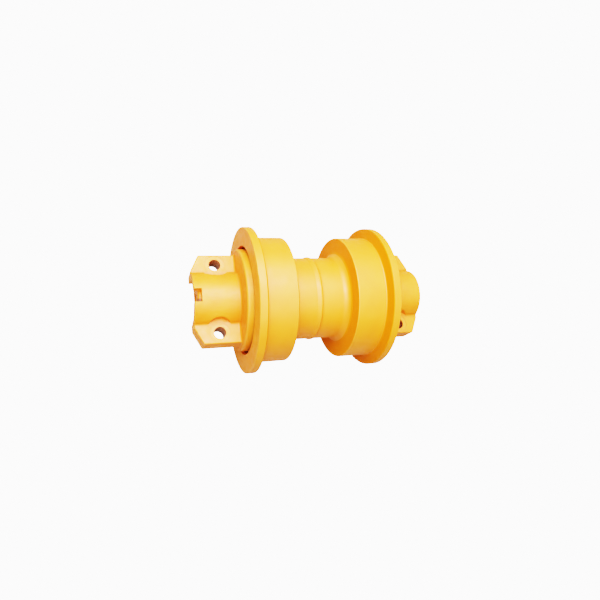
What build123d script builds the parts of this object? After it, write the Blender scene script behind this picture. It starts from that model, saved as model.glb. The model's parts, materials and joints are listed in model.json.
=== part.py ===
"""Track roller for a crawler machine: a welded two-piece flanged shell that turns on a fixed shaft.

Two forged collars, pinned to the shaft's ends, bolt up against the underside of the track frame.
A flanged bush in each half of the shell runs on the shaft, and a floating face seal at each end keeps
the oil in.  The origin is the middle of the shaft's axis.  +Y runs along the shaft, +Z points away from
the track frame, towards the bolt heads, and the collars' mounting faces look along -Z.
"""
import os

from build123d import *

# Shell, as turned about the shaft's axis
flange_r = 120.0
flange_face_y = 115.0
flange_thickness = 13.0
flange_taper = 3.7
tread_r = 103.0
tread_inner_y = 49.0
waist_r = 69.0
waist_blend = 12.0
edge_round = 1.5
corner_round = 2.5
recess_r = 89.0
oil_cavity_r = 46.0
oil_cavity_y = 26.0

# Weld that joins the halves of the shell, a little off the middle
weld_y = -2.3
weld_root_r = 60.0
weld_half_width = 5.0
weld_crown = 2.0

# Shaft
shaft_r = 32.5
shaft_half_length = 190.0
shaft_chamfer = 1.5
flat_start_y = 126.0
oil_drilling_r = 6.0
oil_drilling_end_y = 10.0
oil_cross_r = 4.0

# Oil plug and its washer, in the shaft's -Y end
plug_r = 12.0
plug_length = 16.0
plug_setback = 2.0
plug_socket_across_flats = 12.0
plug_socket_depth = 8.0
plug_washer_thickness = 1.5

# Bushes
bush_wall = 5.0
bush_flange_r = 48.0
bush_flange_thickness = 5.0
bush_dowel_r = 3.0
bush_dowel_circle_r = 43.0
bush_dowel_depth = 10.0
bush_dowel_setback = 0.5

# Floating seal: two metal rings that meet on one plane, each pressed there by a rubber ring
seal_plane_y = 103.0
seal_housing_r = 57.4
seal_housing_depth = 15.0
seal_ring_bore_r = 44.0
seal_face_r = 53.0
seal_face_thickness = 3.0
seal_tail_r = 47.5
seal_ramp_end = 9.0
seal_tail_end = 13.0
seal_film = 0.05
rubber_ring_r = 53.0
rubber_cord_r = 4.3
rubber_ring_depth = 9.5

# Collar
collar_gap = 1.5
collar_disc_r = 83.5
collar_disc_face_y = 124.5
collar_disc_round = 4.0
collar_hub_r = 42.0
boss_r = 45.0
boss_end_y = 197.0
bore_chamfer = 1.5
ear_half_width = 74.0
ear_half_thickness = 16.0
ear_tip_y = 183.5
ear_shoulder_x = 47.0
ear_root_y = 120.0
collar_blend = 4.0
collar_root_blend = 3.5
ear_tip_round = 3.0
ear_shoulder_round = 6.0
ear_edge_round = 2.0

# Bolt holes, their spotfaces, and the hollows in the boss that clear a socket wrench
bolt_spacing_x = 113.0
bolt_spacing_y = 315.0
bolt_hole_r = 9.5
spotface_r = 16.0
spotface_depth = 0.6
wrench_clearance_r = 22.5

# Open saddle at each collar's outer end, on the mounting side, and the key slot in the -Y collar
saddle_half_width = 36.0
saddle_start_y = 172.0
saddle_top_z = -3.0
key_slot_width = 20.8
key_slot_depth = 12.0
key_slot_x = 2.8

# Lock pins, half in the shaft and half in the collar, driven in from the mounting side
lock_pin_r = 6.0
lock_pin_x = 31.0
lock_pin_top_z = 14.0
lock_pin_setback = 0.5

# Rubber rings between the shaft and the collars
o_ring_cord_r = 1.7
o_ring_y = 112.0
o_ring_groove_r = 36.2
o_ring_groove_width = 4.0

# Clearances, on the radius or the length
running_clearance = 0.06
fixed_clearance = 0.02
thrust_clearance = 0.2
o_ring_clearance = 0.05

# Worked out from the above
crease_x = (boss_r**2 - ear_half_thickness**2) ** 0.5
mount_z = -ear_half_thickness
flange_inner_y = flange_face_y - flange_thickness
flange_root_y = flange_inner_y - flange_taper
shell_housing_floor_y = seal_plane_y - seal_housing_depth
collar_housing_floor_y = seal_plane_y + seal_housing_depth
recess_floor_y = seal_plane_y - collar_gap
collar_disc_inner_y = seal_plane_y + collar_gap
bush_bore_r = shaft_r + running_clearance
bush_r = bush_bore_r + bush_wall
bush_flange_inner_y = shell_housing_floor_y - bush_flange_thickness
collar_bore_r = shaft_r + fixed_clearance
collar_hub_end_y = shell_housing_floor_y + thrust_clearance
plug_outer_y = plug_setback - shaft_half_length
plug_inner_y = plug_outer_y + plug_length
plug_hole_end_y = plug_inner_y + plug_washer_thickness
o_ring_r = shaft_r + o_ring_clearance + o_ring_cord_r
reach = 2 * flange_r
sides = (("left", -1), ("right", 1))


def keep(part, name):
    """Label a finished piece and write it to its own STEP file."""
    part.label = name
    export_step(part, f"parts/{name}.step")


def turned_section(corners, side=1):
    """Closed section, to be turned about the Y axis; corners are (radius, y, rounding)."""
    with BuildSketch(Plane.XY) as section:
        with BuildLine():
            Polyline(*[(radius, side * y) for radius, y, _ in corners], close=True)
        make_face()
        for radius, y, rounding in corners:
            if rounding:
                fillet(section.vertices().sort_by_distance((radius, side * y))[0], rounding)
    return section.sketch


def box_between(low, high):
    """Private box between two opposite corners, for use as a cutter."""
    size = [high[i] - low[i] for i in range(3)]
    middle = [(high[i] + low[i]) / 2 for i in range(3)]
    return Pos(*middle) * Box(*size, mode=Mode.PRIVATE)


def end_plane(y):
    """Plane square to the shaft at this y, with its x along +X and its y along +Z."""
    return Plane.XZ.offset(-y)


def upright_edges(part, x, y):
    """Edges along Z at this distance either side of the middle and this far along the shaft."""
    return [
        edge
        for edge in part.edges().filter_by(Axis.Z)
        if abs(abs(edge.center().X) - x) < 0.5 and abs(abs(edge.center().Y) - y) < 0.5
    ]


def on_upper_rim(edge, side):
    """True for an edge of the upper outline of the boss and ears, except where the disc will cover it."""
    box = edge.bounding_box()
    at_crease = box.size.Y > ear_tip_y - ear_root_y and max(abs(box.min.X), abs(box.max.X)) < ear_shoulder_x
    past_root = side * edge.center().Y > ear_root_y + 1
    return box.min.Z > ear_half_thickness - 0.01 and past_root and not at_crease


def at_disc_face(edge, side):
    """True for an edge where the boss or an ear stands on the disc's outer face."""
    box = edge.bounding_box()
    face_y = side * collar_disc_face_y
    flat = abs(box.min.Y - face_y) < 0.01 and abs(box.max.Y - face_y) < 0.01
    inside_rim = max(abs(box.min.X), abs(box.max.X)) < ear_half_width + 0.1
    return flat and inside_rim and edge.center().Z > mount_z + 0.1


def at_bore_mouth(edge, side):
    """True for the edge of the bore at the boss's outer end."""
    return abs(edge.radius - collar_bore_r) < 0.01 and abs(side * edge.center().Y - boss_end_y) < 0.01


def bolt_places(side):
    """The two bolt centres of the collar on this side."""
    return [(ear_side * bolt_spacing_x / 2, side * bolt_spacing_y / 2) for ear_side in (-1, 1)]


os.makedirs("parts", exist_ok=True)

# Shaft: a plain ground bar with a flat at each end, flush with the collars' mounting faces, drilled for oil
with BuildPart() as shaft:
    with BuildSketch(end_plane(shaft_half_length)):
        Circle(shaft_r)
    extrude(amount=2 * shaft_half_length)
    chamfer(shaft.edges().filter_by(GeomType.CIRCLE), shaft_chamfer)
    for _, side in sides:
        flat_y = sorted((side * flat_start_y, side * reach))
        add(box_between((-reach, flat_y[0], -reach), (reach, flat_y[1], mount_z)), mode=Mode.SUBTRACT)
    with BuildSketch(end_plane(-shaft_half_length)):
        Circle(plug_r + fixed_clearance)
    extrude(amount=-(plug_hole_end_y + shaft_half_length), mode=Mode.SUBTRACT)
    with BuildSketch(end_plane(-shaft_half_length)):
        Circle(oil_drilling_r)
    extrude(amount=-(oil_drilling_end_y + shaft_half_length), mode=Mode.SUBTRACT)
    with BuildSketch(Plane.XY.offset(-shaft_r)):
        Circle(oil_cross_r)
    extrude(amount=2 * shaft_r, mode=Mode.SUBTRACT)
    with BuildSketch(Plane.XY.offset(mount_z)):
        with Locations((lock_pin_x, -bolt_spacing_y / 2), (lock_pin_x, bolt_spacing_y / 2)):
            Circle(lock_pin_r + fixed_clearance)
    extrude(amount=lock_pin_top_z - mount_z, mode=Mode.SUBTRACT)
keep(shaft.part, "shaft")

# Oil plug with a hexagon socket, and the soft washer that it presses on
with BuildPart() as oil_plug:
    with BuildSketch(end_plane(plug_inner_y)):
        Circle(plug_r)
    extrude(amount=plug_length)
    chamfer(oil_plug.edges().filter_by(GeomType.CIRCLE), shaft_chamfer / 2)
    with BuildSketch(end_plane(plug_outer_y)):
        RegularPolygon(plug_socket_across_flats / 2, 6, major_radius=False)
    extrude(amount=-plug_socket_depth, mode=Mode.SUBTRACT)
keep(oil_plug.part, "oil_plug")

with BuildPart() as plug_washer:
    with BuildSketch(end_plane(plug_hole_end_y)):
        Circle(plug_r - fixed_clearance)
        Circle(oil_drilling_r, mode=Mode.SUBTRACT)
    extrude(amount=plug_washer_thickness)
keep(plug_washer.part, "plug_washer")

# Weld bead that fills the groove between the halves of the shell
with BuildPart() as centre_weld:
    with BuildSketch(Plane.XY):
        with BuildLine():
            Polyline(
                (waist_r, weld_y - weld_half_width),
                (weld_root_r, weld_y),
                (waist_r, weld_y + weld_half_width),
            )
            ThreePointArc(
                (waist_r, weld_y + weld_half_width),
                (waist_r + weld_crown, weld_y),
                (waist_r, weld_y - weld_half_width),
            )
        make_face()
    revolve(axis=Axis.Y)
keep(centre_weld.part, "centre_weld")

# Section of one half of the shell, from beside the weld out to the flange and back along the bore
shell_corners = [
    (waist_r, tread_inner_y, waist_blend),
    (tread_r, tread_inner_y, edge_round),
    (tread_r, flange_root_y, corner_round),
    (flange_r, flange_inner_y, edge_round),
    (flange_r, flange_face_y, edge_round),
    (recess_r, flange_face_y, edge_round),
    (recess_r, recess_floor_y, edge_round),
    (seal_housing_r, recess_floor_y, edge_round / 2),
    (seal_housing_r, shell_housing_floor_y, 0),
    (bush_flange_r, shell_housing_floor_y, 0),
    (bush_flange_r, bush_flange_inner_y, 0),
    (bush_r + fixed_clearance, bush_flange_inner_y, 0),
    (bush_r + fixed_clearance, oil_cavity_y, 0),
    (oil_cavity_r, oil_cavity_y, 0),
]

# Section of a collar's turned part: hub, seal housing, disc, and the bore with its groove for the O-ring
groove_inner_y = o_ring_y - o_ring_groove_width / 2
groove_outer_y = o_ring_y + o_ring_groove_width / 2
collar_corners = [
    (collar_bore_r, collar_hub_end_y, 0),
    (collar_hub_r, collar_hub_end_y, edge_round / 2),
    (collar_hub_r, collar_housing_floor_y, 0),
    (seal_housing_r, collar_housing_floor_y, 0),
    (seal_housing_r, collar_disc_inner_y, edge_round / 2),
    (collar_disc_r, collar_disc_inner_y, edge_round),
    (collar_disc_r, collar_disc_face_y, collar_disc_round),
    (collar_bore_r, collar_disc_face_y, 0),
    (collar_bore_r, groove_outer_y, 0),
    (o_ring_groove_r, groove_outer_y, 0),
    (o_ring_groove_r, groove_inner_y, 0),
    (collar_bore_r, groove_inner_y, 0),
]

# Section of a flanged bush, whose flange takes the thrust of the collar's hub
bush_corners = [
    (bush_bore_r, oil_cavity_y, 0),
    (bush_r, oil_cavity_y, 0),
    (bush_r, bush_flange_inner_y, 0),
    (bush_flange_r - fixed_clearance, bush_flange_inner_y, 0),
    (bush_flange_r - fixed_clearance, shell_housing_floor_y, 0),
    (bush_bore_r, shell_housing_floor_y, 0),
]

for side_name, side in sides:
    # Half of the shell, bevelled at the joint for the weld
    joint_y = side * weld_y
    joint_corners = [
        (oil_cavity_r, joint_y, 0),
        (weld_root_r, joint_y, 0),
        (waist_r, joint_y + weld_half_width, 0),
    ]
    with BuildPart() as shell:
        revolve(turned_section(joint_corners + shell_corners, side), axis=Axis.Y)
        with BuildSketch(end_plane(side * bush_flange_inner_y)):
            with Locations((-bush_dowel_circle_r, 0), (bush_dowel_circle_r, 0)):
                Circle(bush_dowel_r + fixed_clearance)
        extrude(amount=side * bush_dowel_depth, mode=Mode.SUBTRACT)
    keep(shell.part, f"shell_{side_name}")

    # Bush, pressed into the shell, and the dowels that stop it turning there
    with BuildPart() as bush:
        revolve(turned_section(bush_corners, side), axis=Axis.Y)
        with BuildSketch(end_plane(side * shell_housing_floor_y)):
            with Locations((-bush_dowel_circle_r, 0), (bush_dowel_circle_r, 0)):
                Circle(bush_dowel_r + fixed_clearance)
        extrude(amount=side * bush_flange_thickness, mode=Mode.SUBTRACT)
    keep(bush.part, f"bush_{side_name}")

    for dowel_name, dowel_x in (("a", -bush_dowel_circle_r), ("b", bush_dowel_circle_r)):
        with BuildPart() as bush_dowel:
            with BuildSketch(end_plane(side * (shell_housing_floor_y - bush_dowel_setback))):
                with Locations((dowel_x, 0)):
                    Circle(bush_dowel_r)
            extrude(amount=side * (bush_dowel_depth + bush_flange_thickness - bush_dowel_setback))
            chamfer(bush_dowel.edges().filter_by(GeomType.CIRCLE), bush_dowel_setback)
        keep(bush_dowel.part, f"bush_dowel_{side_name}_{dowel_name}")

    # Floating seal: the inner pair turns with the shell, the outer pair stands still in the collar
    for pair_name, outward in (("turning", -1), ("fixed", 1)):
        seal_corners = [
            (seal_ring_bore_r, seal_plane_y + outward * seal_film, 0),
            (seal_face_r, seal_plane_y + outward * seal_film, 0),
            (seal_face_r, seal_plane_y + outward * seal_face_thickness, 0),
            (seal_tail_r, seal_plane_y + outward * seal_ramp_end, 0),
            (seal_tail_r, seal_plane_y + outward * seal_tail_end, 0),
            (seal_ring_bore_r, seal_plane_y + outward * seal_tail_end, 0),
        ]
        with BuildPart() as seal_ring:
            revolve(turned_section(seal_corners, side), axis=Axis.Y)
        keep(seal_ring.part, f"{pair_name}_seal_ring_{side_name}")

        with BuildPart() as rubber_ring:
            with BuildSketch(Plane.XY):
                with Locations((rubber_ring_r, side * (seal_plane_y + outward * rubber_ring_depth))):
                    Circle(rubber_cord_r)
            revolve(axis=Axis.Y)
        keep(rubber_ring.part, f"{pair_name}_rubber_ring_{side_name}")

    # O-ring in the groove of the collar's bore
    with BuildPart() as o_ring:
        with BuildSketch(Plane.XY):
            with Locations((o_ring_r, side * o_ring_y)):
                Circle(o_ring_cord_r)
        revolve(axis=Axis.Y)
    keep(o_ring.part, f"shaft_o_ring_{side_name}")

    # Lock pin, along Z
    with BuildPart() as lock_pin:
        with BuildSketch(Plane.XY.offset(mount_z + lock_pin_setback)):
            with Locations((lock_pin_x, side * bolt_spacing_y / 2)):
                Circle(lock_pin_r)
        extrude(amount=lock_pin_top_z - mount_z - lock_pin_setback)
        chamfer(lock_pin.edges().filter_by(GeomType.CIRCLE), lock_pin_setback)
    keep(lock_pin.part, f"lock_pin_{side_name}")

    # Collar: first the boss with an ear on each side of it for the bolts, cut off level as a mounting face
    with BuildPart() as collar:
        with BuildSketch(end_plane(side * ear_root_y)) as boss_and_ears:
            Rectangle(2 * ear_half_width, 2 * ear_half_thickness)
            Circle(boss_r)
            with Locations((0, mount_z)):
                Rectangle(reach, boss_r, align=(Align.CENTER, Align.MAX), mode=Mode.SUBTRACT)
            for ear_side in (-1, 1):
                crease = Vector(ear_side * crease_x, ear_half_thickness)
                fillet(boss_and_ears.vertices().sort_by_distance(crease)[0], collar_blend)
        extrude(amount=side * (ear_root_y - boss_end_y))
        with BuildSketch(Plane.XY.offset(mount_z)):
            for ear_side in (-1, 1):
                with BuildLine():
                    Polyline(
                        (ear_side * ear_half_width, side * ear_tip_y),
                        (ear_side * ear_shoulder_x, side * boss_end_y),
                        (ear_side * ear_half_width, side * boss_end_y),
                        close=True,
                    )
                make_face()
        extrude(amount=2 * ear_half_thickness, mode=Mode.SUBTRACT)
        fillet(upright_edges(collar, ear_half_width, ear_tip_y), ear_tip_round)
        fillet(upright_edges(collar, ear_shoulder_x, boss_end_y), ear_shoulder_round)
        fillet([edge for edge in collar.edges() if on_upper_rim(edge, side)], ear_edge_round)

        # The turned hub and disc, blended into the boss and ears, and the bore right through
        revolve(turned_section(collar_corners, side), axis=Axis.Y)
        fillet([edge for edge in collar.edges() if at_disc_face(edge, side)], collar_root_blend)
        with BuildSketch(end_plane(side * collar_hub_end_y)):
            Circle(collar_bore_r)
        extrude(amount=side * (collar_hub_end_y - boss_end_y), mode=Mode.SUBTRACT)
        mouth = [edge for edge in collar.edges().filter_by(GeomType.CIRCLE) if at_bore_mouth(edge, side)]
        chamfer(mouth, bore_chamfer)

        # Wrench hollows in the boss, spotfaces, bolt holes and the blind hole for the lock pin
        with BuildSketch(Plane.XY.offset(ear_half_thickness)):
            with Locations(*bolt_places(side)):
                Circle(wrench_clearance_r)
        extrude(amount=boss_r, mode=Mode.SUBTRACT)
        with BuildSketch(Plane.XY.offset(ear_half_thickness - spotface_depth)):
            with Locations(*bolt_places(side)):
                Circle(spotface_r)
        extrude(amount=boss_r, mode=Mode.SUBTRACT)
        with BuildSketch(Plane.XY.offset(mount_z)):
            with Locations(*bolt_places(side)):
                Circle(bolt_hole_r)
        extrude(amount=2 * ear_half_thickness, mode=Mode.SUBTRACT)
        with BuildSketch(Plane.XY.offset(mount_z)):
            with Locations((lock_pin_x, side * bolt_spacing_y / 2)):
                Circle(lock_pin_r + fixed_clearance)
        extrude(amount=lock_pin_top_z - mount_z, mode=Mode.SUBTRACT)

        # Saddle on the mounting side, and the key slot at the shaft's plugged end
        saddle_y = sorted((side * saddle_start_y, side * reach))
        add(
            box_between(
                (-saddle_half_width, saddle_y[0], mount_z - 1),
                (saddle_half_width, saddle_y[1], saddle_top_z),
            ),
            mode=Mode.SUBTRACT,
        )
        if side_name == "left":
            add(
                box_between(
                    (key_slot_x - key_slot_width / 2, -reach, 0),
                    (key_slot_x + key_slot_width / 2, key_slot_depth - boss_end_y, boss_r + 1),
                ),
                mode=Mode.SUBTRACT,
            )
    keep(collar.part, f"collar_{side_name}")
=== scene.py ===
"""Looks of the track roller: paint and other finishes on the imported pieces, a floor, lights and a camera."""

import json
import math

import bmesh
import bpy
from mathutils import Matrix, Vector, noise


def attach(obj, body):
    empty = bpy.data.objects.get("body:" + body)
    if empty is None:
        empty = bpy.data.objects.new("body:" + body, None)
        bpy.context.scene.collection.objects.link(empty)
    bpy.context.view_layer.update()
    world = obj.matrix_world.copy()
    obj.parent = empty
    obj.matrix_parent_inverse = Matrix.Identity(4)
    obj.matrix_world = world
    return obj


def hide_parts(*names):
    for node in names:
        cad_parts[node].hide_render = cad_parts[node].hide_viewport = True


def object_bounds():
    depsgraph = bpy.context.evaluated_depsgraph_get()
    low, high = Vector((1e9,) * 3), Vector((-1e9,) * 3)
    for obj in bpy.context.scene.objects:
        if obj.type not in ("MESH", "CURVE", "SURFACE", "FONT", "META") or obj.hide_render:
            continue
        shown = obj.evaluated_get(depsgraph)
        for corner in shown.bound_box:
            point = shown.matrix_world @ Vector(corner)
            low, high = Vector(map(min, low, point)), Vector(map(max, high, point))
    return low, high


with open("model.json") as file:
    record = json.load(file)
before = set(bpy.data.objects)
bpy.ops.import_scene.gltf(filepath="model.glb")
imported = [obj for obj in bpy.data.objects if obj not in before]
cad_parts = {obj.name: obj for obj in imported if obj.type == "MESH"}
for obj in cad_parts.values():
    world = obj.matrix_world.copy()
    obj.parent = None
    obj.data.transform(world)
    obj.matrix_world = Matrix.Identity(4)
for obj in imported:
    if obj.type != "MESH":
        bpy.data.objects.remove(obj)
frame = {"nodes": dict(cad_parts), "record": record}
cad_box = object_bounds()
nodes = frame["nodes"]

# Circles on the shell as (radius, distance from the middle), in metres: edges get a painted highlight, creases
# get painted shade
FLANGE_R = 0.120
TREAD_R = 0.103
RECESS_R = 0.089
FLANGE_RIM_Y = 0.102
FLANGE_FOOT_Y = 0.0983
TREAD_INNER_Y = 0.049
SHELL_EDGES = ((FLANGE_R, FLANGE_RIM_Y), (FLANGE_R, 0.115), (TREAD_R, TREAD_INNER_Y), (RECESS_R, 0.115))
SHELL_CREASES = ((TREAD_R, FLANGE_FOOT_Y), (RECESS_R, 0.1025))
FLANGE_SLANT = (FLANGE_RIM_Y - FLANGE_FOOT_Y) / (FLANGE_R - TREAD_R)
WELD_TOES = (-0.0073, 0.0027)
WAIST_R = 0.069
WELD_CREST_Y = -0.0006
WELD_ROOT_Y = -0.0023
COLLAR_CREASE = (0.0421, 0.016)
DISC_FACE_Y = 0.1245
BOLT_PLACES = tuple((x, y) for x in (-0.0565, 0.0565) for y in (-0.1575, 0.1575))
BOLT_HOLE_R = 0.0095
SPOTFACE_R = 0.016
SHAFT_PAINT_Y = 0.178
SLOT_SPOT_PLACE = (0.0085, -0.1875)


class Graph:
    """Short names for building one material's nodes."""

    def __init__(self, name):
        self.material = bpy.data.materials.new(name)
        self.material.use_nodes = True
        self.tree = self.material.node_tree
        self.shader = self.tree.nodes["Principled BSDF"]
        self.place = self.node("ShaderNodeTexCoord").outputs["Object"]
        split = self.node("ShaderNodeSeparateXYZ", {0: self.place})
        self.x, self.y, self.z = split.outputs

    def node(self, kind, inputs=None, **settings):
        made = self.tree.nodes.new(kind)
        for key, value in settings.items():
            setattr(made, key, value)
        for socket, value in (inputs or {}).items():
            self.put(made.inputs[socket], value)
        return made

    def put(self, socket, value):
        if isinstance(value, bpy.types.NodeSocket):
            self.tree.links.new(value, socket)
        else:
            socket.default_value = value

    def math(self, operation, *values, clamp=False):
        made = self.node("ShaderNodeMath", dict(enumerate(values)), operation=operation)
        made.use_clamp = clamp
        return made.outputs[0]

    def total(self, *values):
        result = values[0]
        for value in values[1:]:
            result = self.math("ADD", result, value)
        return result

    def ramp(self, value, low, high, out_low=0.0, out_high=1.0):
        """value from low to high, eased onto out_low to out_high."""
        made = self.node("ShaderNodeMapRange", interpolation_type="SMOOTHSTEP")
        keys = ("Value", "From Min", "From Max", "To Min", "To Max")
        for key, item in zip(keys, (value, low, high, out_low, out_high)):
            self.put(made.inputs[key], item)
        return made.outputs[0]

    def noise(self, size, detail=2.0, roughness=0.5, place=None):
        """Noise from 0 to 1 whose lumps are about this size, in metres."""
        made = self.node("ShaderNodeTexNoise", {"Vector": place or self.place})
        made.inputs["Scale"].default_value = 1 / size
        made.inputs["Detail"].default_value = detail
        made.inputs["Roughness"].default_value = roughness
        return made.outputs["Fac"]

    def mix(self, factor, low, high):
        made = self.node("ShaderNodeMix", data_type="RGBA")
        self.put(made.inputs[0], factor)
        self.put(made.inputs[6], low if isinstance(low, bpy.types.NodeSocket) else (*low, 1))
        self.put(made.inputs[7], high if isinstance(high, bpy.types.NodeSocket) else (*high, 1))
        return made.outputs[2]

    def radius(self):
        """Distance from the shaft's axis."""
        return self.away(self.x, self.z, 0.0, 0.0)

    def away(self, a, b, at_a, at_b):
        """Distance of (a, b) from a fixed point."""
        da = self.math("SUBTRACT", a, at_a)
        db = self.math("SUBTRACT", b, at_b)
        return self.math("SQRT", self.total(self.math("MULTIPLY", da, da), self.math("MULTIPLY", db, db)))

    def nearest(self, distances):
        result = distances[0]
        for item in distances[1:]:
            result = self.math("MINIMUM", result, item)
        return result

    def hollow_shade_mask(self, r, along):
        """1 on the faces that look into the hollows of the shell, which get painted shade."""
        face = self.math("MULTIPLY_ADD", r, FLANGE_SLANT, FLANGE_RIM_Y - FLANGE_R * FLANGE_SLANT)
        flange = self.math("ABSOLUTE", self.math("SUBTRACT", along, face))
        flange = self.math("MULTIPLY", self.ramp(flange, 0.0016, 0.0008), self.ramp(r, 0.1032, 0.1045))
        tread = self.math("ABSOLUTE", self.math("SUBTRACT", along, TREAD_INNER_Y))
        tread = self.math("MULTIPLY", self.ramp(tread, 0.0016, 0.0008), self.ramp(r, 0.1025, 0.1010))
        return self.math("MAXIMUM", flange, tread)

    def bump(self, *layers):
        """Layers are (height from 0 to 1, depth in metres)."""
        normal = None
        for height, depth in layers:
            made = self.node("ShaderNodeBump", {"Height": height})
            made.inputs["Distance"].default_value = depth
            if normal is not None:
                self.put(made.inputs["Normal"], normal)
            normal = made.outputs[0]
        self.put(self.shader.inputs["Normal"], normal)

    def finish(self, colour, roughness, metallic=0.0, coat=0.0, shine=0.5):
        self.put(self.shader.inputs["Base Color"], colour)
        self.shader.inputs["Specular IOR Level"].default_value = shine
        self.put(self.shader.inputs["Roughness"], roughness)
        self.shader.inputs["Metallic"].default_value = metallic
        self.shader.inputs["Coat Weight"].default_value = coat
        self.shader.inputs["Coat Roughness"].default_value = 0.3
        return self.material


PAINT = (0.86, 0.278, 0.014)
# Deeper tone of the paint, also used as painted shade in creases, along spotface rims and on the shaft's
# painted end
PAINT_DEEP_AND_SHADE = (0.80, 0.222, 0.008)
# Paler paint: a painted highlight on edges and the weld's crest, with thinner paint on edges as well; also
# used on the spotface seats
PAINT_PALE_AND_HIGHLIGHT = (0.90, 0.33, 0.040)
PAINT_SHADED = (0.68, 0.185, 0.005)
OXIDE = (0.38, 0.195, 0.080)
OXIDE_DARK = (0.22, 0.115, 0.048)
# Near-black brown: painted shade low in the bolt holes and in the right collar's holes
HOLE_SHADE = (0.055, 0.038, 0.028)
# Dark brown: painted shade far inside the gap round the collar's disc
GAP_SHADE = (0.50, 0.20, 0.012)
GAP_SHADE_FROM_Y = 0.110
# Dark brown for a spot on the shaft inside the key slot
SLOT_SPOT_COLOUR = (0.16, 0.07, 0.02)


def paint_colour(graph, edge_distance, crease_distance, painted_shade=PAINT_DEEP_AND_SHADE, patchy=0.45):
    """Yellow that drifts a little in tone, with painted shade in creases and a painted highlight on edges,
    where the paint is also thinner.
    """
    drift = graph.ramp(graph.noise(0.035, 3), 0.3, 0.7)
    colour = graph.mix(graph.math("MULTIPLY", drift, patchy), PAINT, PAINT_DEEP_AND_SHADE)
    ragged = graph.math("MULTIPLY", graph.noise(0.004, 3), 0.0016)
    # Edges: painted highlight, with thinner paint there as well
    edge_highlight = graph.ramp(graph.total(edge_distance, ragged), 0.0008, 0.0030, 0.7, 0.0)
    colour = graph.mix(edge_highlight, colour, PAINT_PALE_AND_HIGHLIGHT)
    # Creases: painted shade
    crease_shade = graph.ramp(graph.total(crease_distance, ragged), 0.001, 0.0055, 0.8, 0.0)
    return graph.mix(crease_shade, colour, painted_shade)


def shell_paint():
    """Satin paint over turned steel, with painted shade far inside the gap round the collar's disc, in
    creases, at the weld's right toe and on the faces in the hollows, and a painted highlight on edges.
    """
    graph = Graph("shell_paint_look")
    r = graph.radius()
    along = graph.math("ABSOLUTE", graph.y)
    edges = graph.nearest([graph.away(r, along, *place) for place in SHELL_EDGES])
    creases = graph.nearest([graph.away(r, along, *place) for place in SHELL_CREASES])
    # The weld's right toe on the shell gets painted shade too
    creases = graph.math("MINIMUM", creases, graph.away(r, graph.y, WAIST_R, WELD_TOES[1]))
    colour = paint_colour(graph, edges, creases)
    # Painted shade far inside the gap round the collar's disc
    in_recess = graph.ramp(r, RECESS_R + 0.0005, RECESS_R)
    painted_shade = graph.math("MULTIPLY", graph.ramp(along, GAP_SHADE_FROM_Y, GAP_SHADE_FROM_Y - 0.003), in_recess)
    painted_shade = graph.math("MULTIPLY", painted_shade, graph.ramp(along, 0.088, 0.090))
    colour = graph.mix(painted_shade, colour, GAP_SHADE)
    # Painted shade on the flange and tread faces that look into the hollows
    hollow_shade = graph.hollow_shade_mask(r, along)
    strength = graph.ramp(r, TREAD_R - 0.0002, TREAD_R + 0.0005, 0.5, 0.95)
    colour = graph.mix(graph.math("MULTIPLY", hollow_shade, strength), colour, PAINT_SHADED)
    turning = graph.total(
        graph.math("SINE", graph.math("MULTIPLY", r, 2 * math.pi / 0.0011)),
        graph.math("SINE", graph.math("MULTIPLY", graph.y, 2 * math.pi / 0.0013)),
    )
    graph.bump(
        (graph.noise(0.022, 2), 0.00022),
        (graph.ramp(turning, -2, 2), 0.000012),
        (graph.noise(0.0016, 2), 0.00005),
    )
    roughness = graph.ramp(graph.noise(0.012, 4), 0.25, 0.75, 0.43, 0.56)
    material = graph.finish(colour, roughness, coat=0.06)
    graph.put(graph.shader.inputs["Specular IOR Level"], graph.math("MULTIPLY_ADD", hollow_shade, -0.55, 0.65))
    return material


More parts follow.
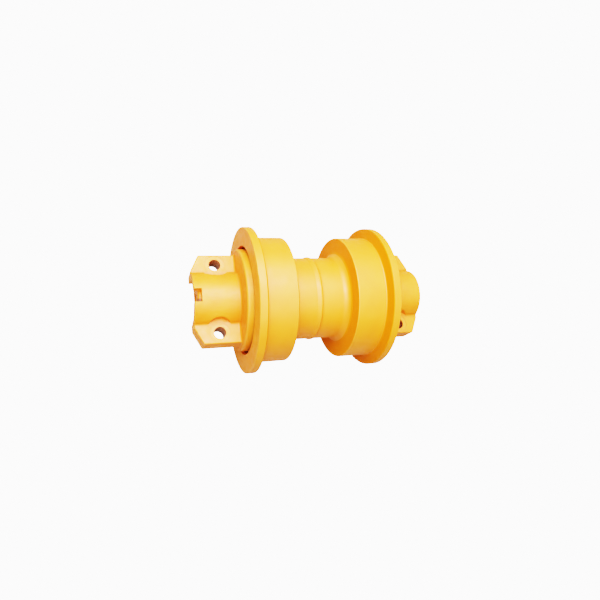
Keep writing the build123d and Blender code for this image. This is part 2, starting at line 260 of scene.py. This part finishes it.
def collar_paint():
    """Satin paint over a forging, with dark oxide left showing inside the bolt holes, darkened towards their
    bottoms and in the right collar as painted shade; creases and the gap round the disc get painted shade,
    edges a painted highlight, and spotface seats paler paint with painted shade along their rims.
    """
    graph = Graph("collar_paint_look")
    along = graph.math("ABSOLUTE", graph.y)
    across = graph.math("ABSOLUTE", graph.x)
    r = graph.radius()
    # Painted shade along the ear-to-boss creases and at the disc face
    creases = graph.nearest([
        graph.math("MULTIPLY", graph.away(across, graph.z, *COLLAR_CREASE), 0.6),
        graph.total(graph.math("ABSOLUTE", graph.math("SUBTRACT", along, DISC_FACE_Y + 0.001)), 0.0015),
    ])
    # Painted highlight on the collar's edges, the disc rim among them
    edges = graph.nearest([
        graph.away(r, along, 0.0835, DISC_FACE_Y - 0.001),
        graph.away(along, across, 0.197, 0.047),
        graph.away(along, across, 0.1835, 0.074),
        graph.away(r, along, 0.045, 0.197),
    ])
    colour = paint_colour(graph, edges, creases, PAINT_SHADED, 0.8)
    # Painted shade inside the gap round the disc
    colour = graph.mix(graph.ramp(along, 0.1165, 0.113), colour, GAP_SHADE)
    hole = graph.nearest([graph.away(graph.x, graph.y, *place) for place in BOLT_PLACES])
    rough_edge = graph.math("MULTIPLY", graph.noise(0.002, 3), 0.0006)
    inside = graph.ramp(graph.total(hole, rough_edge), BOLT_HOLE_R + 0.0002, BOLT_HOLE_R + 0.0006, 1.0, 0.0)
    below = graph.ramp(graph.z, 0.0135, 0.0148, 1.0, 0.0)
    oxide_and_shade = graph.mix(graph.noise(0.003, 3), OXIDE, OXIDE_DARK)
    # Painted shade: the oxide goes darker towards the bottom of the holes and in the right collar's holes
    oxide_and_shade = graph.mix(graph.ramp(graph.z, 0.002, -0.014), oxide_and_shade, HOLE_SHADE)
    oxide_and_shade = graph.mix(graph.ramp(graph.y, 0.0, 0.1, 0.0, 0.75), oxide_and_shade, HOLE_SHADE)
    # Spotface seats: paler paint on the seat, and painted shade along its rim
    seat = graph.ramp(hole, SPOTFACE_R - 0.0006, SPOTFACE_R, 0.35, 0.0)
    from_seat_edge = graph.math("ABSOLUTE", graph.math("SUBTRACT", hole, SPOTFACE_R))
    seat_rim_shade = graph.ramp(from_seat_edge, 0.0002, 0.0011, 0.8, 0.0)
    top = graph.ramp(graph.z, 0.0140, 0.0150)
    colour = graph.mix(graph.math("MULTIPLY", seat, top), colour, PAINT_PALE_AND_HIGHLIGHT)
    colour = graph.mix(graph.math("MULTIPLY", seat_rim_shade, top), colour, PAINT_DEEP_AND_SHADE)
    colour = graph.mix(graph.math("MULTIPLY", inside, below), colour, oxide_and_shade)
    graph.bump(
        (graph.noise(0.016, 3), 0.0006),
        (graph.noise(0.0045, 3, 0.6), 0.00022),
        (graph.noise(0.0013, 2), 0.00005),
    )
    roughness = graph.ramp(graph.noise(0.009, 4), 0.25, 0.75, 0.45, 0.60)
    return graph.finish(colour, roughness, coat=0.04, shine=0.65)


def weld_paint():
    """Paint over the ripples of the weld, with a painted highlight along the crest and painted shade at the
    right toe.
    """
    graph = Graph("weld_paint_look")
    toe = graph.math("ABSOLUTE", graph.math("SUBTRACT", graph.y, WELD_TOES[1]))
    crest = graph.math("ABSOLUTE", graph.math("SUBTRACT", graph.y, WELD_CREST_Y))
    # Crest: painted highlight; right toe: painted shade
    colour = paint_colour(graph, graph.total(crest, 0.0006), toe)
    graph.bump((graph.noise(0.003, 3), 0.0002), (graph.noise(0.0012, 2), 0.00005))
    roughness = graph.ramp(graph.noise(0.006, 4), 0.25, 0.75, 0.44, 0.56)
    return graph.finish(colour, roughness, coat=0.05, shine=0.65)


def plug_paint():
    """Darker, dusty paint on the plug."""
    graph = Graph("plug_paint_look")
    colour = graph.mix(graph.ramp(graph.noise(0.003, 4), 0.3, 0.7), (0.50, 0.20, 0.014), (0.28, 0.095, 0.012))
    graph.bump((graph.noise(0.002, 3), 0.00012))
    return graph.finish(colour, graph.ramp(graph.noise(0.004, 3), 0.3, 0.7, 0.45, 0.65))


def ground_steel(name, tone, paint_from=None):
    """Ground steel with fine marks round it. Beyond paint_from it is painted in darker tones as painted shade,
    with a dark brown spot in the key slot.
    """
    graph = Graph(name)
    marks = graph.node("ShaderNodeMapping", {"Vector": graph.place})
    marks.inputs["Scale"].default_value = (1.0, 30.0, 1.0)
    grain = graph.noise(0.02, 4, place=marks.outputs[0])
    colour = graph.mix(grain, tuple(0.82 * part for part in tone), tone)
    roughness = graph.ramp(grain, 0.3, 0.7, 0.24, 0.38)
    metal = 1.0
    if paint_from is not None:
        painted = graph.ramp(graph.math("ABSOLUTE", graph.y), paint_from - 0.0006, paint_from)
        # Painted shade: the painted end uses the darker paint tones, as it sits in the key slot
        paint = graph.mix(graph.noise(0.02, 3), PAINT_SHADED, PAINT_DEEP_AND_SHADE)
        ragged = graph.math("MULTIPLY", graph.noise(0.002, 3), 0.002)
        # A dark brown spot on the top of the shaft inside the key slot
        spot = graph.total(graph.away(graph.x, graph.y, *SLOT_SPOT_PLACE), ragged)
        on_top = graph.ramp(graph.z, 0.020, 0.024)
        slot_spot = graph.math("MULTIPLY", graph.ramp(spot, 0.0035, 0.0065, 0.95, 0.0), on_top)
        colour = graph.mix(painted, colour, graph.mix(slot_spot, paint, SLOT_SPOT_COLOUR))
        roughness = graph.math("MULTIPLY_ADD", painted, 0.2, roughness)
        metal = graph.math("SUBTRACT", 1.0, painted)
    graph.bump((grain, 0.00002), (graph.noise(0.0015, 2), 0.00002))
    material = graph.finish(colour, roughness)
    graph.put(graph.shader.inputs["Metallic"], metal)
    return material


def bare_metal(name, light, dark, rough):
    """Machined metal with a patchy tarnish."""
    graph = Graph(name)
    patch = graph.ramp(graph.noise(0.008, 4), 0.35, 0.65)
    colour = graph.mix(patch, light, dark)
    lathe = graph.math("SINE", graph.math("MULTIPLY", graph.radius(), 2 * math.pi / 0.0006))
    graph.bump((graph.ramp(lathe, -1, 1), 0.000008), (graph.noise(0.002, 3), 0.00002))
    return graph.finish(colour, graph.ramp(patch, 0, 1, rough, rough + 0.15), metallic=1.0)


def nitrile():
    """Matt black rubber with a faint bloom."""
    graph = Graph("rubber_look")
    bloom = graph.ramp(graph.noise(0.006, 4), 0.35, 0.75)
    graph.bump((graph.noise(0.0008, 3), 0.00004))
    colour = graph.mix(bloom, (0.012, 0.012, 0.013), (0.035, 0.034, 0.033))
    return graph.finish(colour, graph.ramp(bloom, 0, 1, 0.55, 0.75))


def weld_bead():
    """The weld as a rippled bead: it rises slowly from its left toe and drops steeply at its right toe."""
    around, across, ripple_count, root = 1440, 20, 118, 0.060
    left, right = WELD_TOES
    mesh = bmesh.new()
    rings = []
    for i in range(around):
        turn = 2 * math.pi * i / around
        spot = Vector((math.cos(turn), math.sin(turn), 0.0))
        lean = 0.0003 * noise.noise(spot * 5 + Vector((0, 0, 7)))
        crest = WELD_CREST_Y + lean + 0.0004 * noise.noise(spot * 9)
        ring = []
        for j in range(across + 1):
            y = left + (right - left) * j / across
            rise = (y - left) / (crest - left) if y < crest else (right - y) / (right - crest)
            bow = math.sin(0.5 * math.pi * min(rise, 1.0)) ** (1.4 if y < crest else 0.8)
            phase = ripple_count * turn + 2.2 * ((y - crest) / 0.004) ** 2
            ripple = 0.00022 * (0.5 + 0.5 * math.cos(phase)) ** 0.7
            wander = 0.00012 * noise.noise(Vector((spot.x * 14, spot.y * 14, y * 200)))
            height = WAIST_R - 0.0001 + (0.0019 + wander - ripple) * bow
            ring.append(mesh.verts.new((height * math.cos(turn), y, height * math.sin(turn))))
        ring.append(mesh.verts.new((root * math.cos(turn), WELD_ROOT_Y, root * math.sin(turn))))
        rings.append(ring)
    for i in range(around):
        a, b = rings[i], rings[(i + 1) % around]
        for j in range(len(a)):
            k = (j + 1) % len(a)
            mesh.faces.new((a[j], a[k], b[k], b[j]))
    bmesh.ops.recalc_face_normals(mesh, faces=mesh.faces)
    data = bpy.data.meshes.new("weld_bead")
    mesh.to_mesh(data)
    mesh.free()
    data.polygons.foreach_set("use_smooth", [True] * len(data.polygons))
    bead = bpy.data.objects.new("weld_bead", data)
    bpy.context.scene.collection.objects.link(bead)
    return bead


looks = {
    "shell_paint": shell_paint(),
    "collar_paint": collar_paint(),
    "shaft_steel": ground_steel("shaft_steel_look", (0.60, 0.60, 0.60), SHAFT_PAINT_Y),
    "pin_steel": ground_steel("pin_steel_look", (0.52, 0.52, 0.54)),
    "plug_steel": plug_paint(),
    "bush_bronze": bare_metal("bush_bronze_look", (0.70, 0.44, 0.18), (0.48, 0.27, 0.10), 0.28),
    "seal_iron": bare_metal("seal_iron_look", (0.36, 0.36, 0.37), (0.22, 0.22, 0.23), 0.35),
    "copper": bare_metal("copper_look", (0.78, 0.36, 0.20), (0.50, 0.20, 0.10), 0.3),
    "rubber": nitrile(),
}
for part in frame["record"]["subparts"]:
    slots = nodes[part["node"]].material_slots
    for slot in slots:
        slot.material = looks[part["material_slot"]]

bead = weld_bead()
bead.data.materials.append(weld_paint())
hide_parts("centre_weld")
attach(bead, "roller_shell")


def area_light(name, place, target, width, height, power, colour=(1, 1, 1)):
    light = bpy.data.lights.new(name, "AREA")
    light.shape = "RECTANGLE"
    light.size = width
    light.size_y = height
    light.energy = power
    light.color = colour
    lamp = bpy.data.objects.new(name, light)
    lamp.location = place
    lamp.rotation_euler = (Vector(target) - Vector(place)).to_track_quat("-Z", "Y").to_euler()
    bpy.context.scene.collection.objects.link(lamp)


TINT = (1.0, 0.86, 0.97)
floor_z = cad_box[0].z


def ground(name, tones, glow, rise=0.0):
    """A round sheet under the part, with a straight wall round it if rise is not 0."""
    reach, count = 6.0, 96
    turns = [2 * math.pi * i / count for i in range(count)]
    ring = [(reach * math.cos(turn), reach * math.sin(turn)) for turn in turns]
    places = [(x, y, floor_z) for x, y in ring]
    faces = [list(range(count))]
    if rise:
        places += [(x, y, floor_z + rise) for x, y in ring]
        faces += [(i, (i + 1) % count, count + (i + 1) % count, count + i) for i in range(count)]
    data = bpy.data.meshes.new(name)
    data.from_pydata(places, [], faces)
    made = bpy.data.objects.new(name, data)
    bpy.context.scene.collection.objects.link(made)
    sheet = Graph(name + "_look")
    sheet.shader.inputs["Emission Color"].default_value = (1, 1, 1, 1)
    sheet.shader.inputs["Emission Strength"].default_value = glow
    data.materials.append(sheet.finish(sheet.mix(sheet.noise(0.5, 2), *tones), 0.9))
    return made


# The sheet the camera sees is white and has a wall; the one that throws light back onto the part is pale grey
floor = ground("floor", ((0.90, 0.90, 0.90), (0.93, 0.93, 0.93)), 4.5, rise=6.0)
floor.visible_diffuse = False
floor.visible_glossy = False
floor.visible_shadow = False
bounce = ground("bounce", ((0.33, 0.30, 0.23), (0.36, 0.33, 0.26)), 0.0)
bounce.visible_camera = False

world = bpy.data.worlds.new("studio")
world.use_nodes = True
sky = world.node_tree
direction = sky.nodes.new("ShaderNodeTexCoord").outputs["Generated"]
parts = sky.nodes.new("ShaderNodeSeparateXYZ")
sky.links.new(direction, parts.inputs[0])


def sky_math(operation, *values):
    made = sky.nodes.new("ShaderNodeMath")
    made.operation = operation
    for socket, value in zip(made.inputs, values):
        if isinstance(value, bpy.types.NodeSocket):
            sky.links.new(value, socket)
        else:
            socket.default_value = value
    return made.outputs[0]


glow = 0.22
for axis, extra in ((parts.outputs[0], 0.55), (parts.outputs[1], 0.32)):
    side = sky_math("MINIMUM", axis, 0.0)
    glow = sky_math("MULTIPLY_ADD", sky_math("MULTIPLY", side, side), extra, glow)
sky.nodes["Background"].inputs["Color"].default_value = (*TINT, 1)
sky.links.new(glow, sky.nodes["Background"].inputs["Strength"])
bpy.context.scene.world = world

area_light("softbox", (0, -0.35, 1.25), (0, -0.3, 0), 3.1, 2.0, 58, TINT)
area_light("key", (-0.25, -0.2, 1.22), (0, 0, 0), 0.8, 0.5, 20, TINT)

camera_data = bpy.data.cameras.new("camera")
camera_data.sensor_width = 36
camera_data.lens = 30
camera_data.clip_start = 0.01
camera = bpy.data.objects.new("camera", camera_data)
right = Vector((0.1287, 0.9442, 0.3032))
up = Vector((-0.9506, 0.0304, 0.3087))
forward = Vector((-0.2823, 0.3280, -0.9015))
camera.matrix_world = Matrix.LocRotScale(
    Vector((0.2442, -0.2942, 0.7715)), Matrix((right, up, -forward)).transposed().to_quaternion(), None
)
bpy.context.scene.collection.objects.link(camera)
bpy.context.scene.camera = camera
bpy.context.scene.view_settings.view_transform = "Filmic"
bpy.context.scene.view_settings.look = "Very High Contrast"
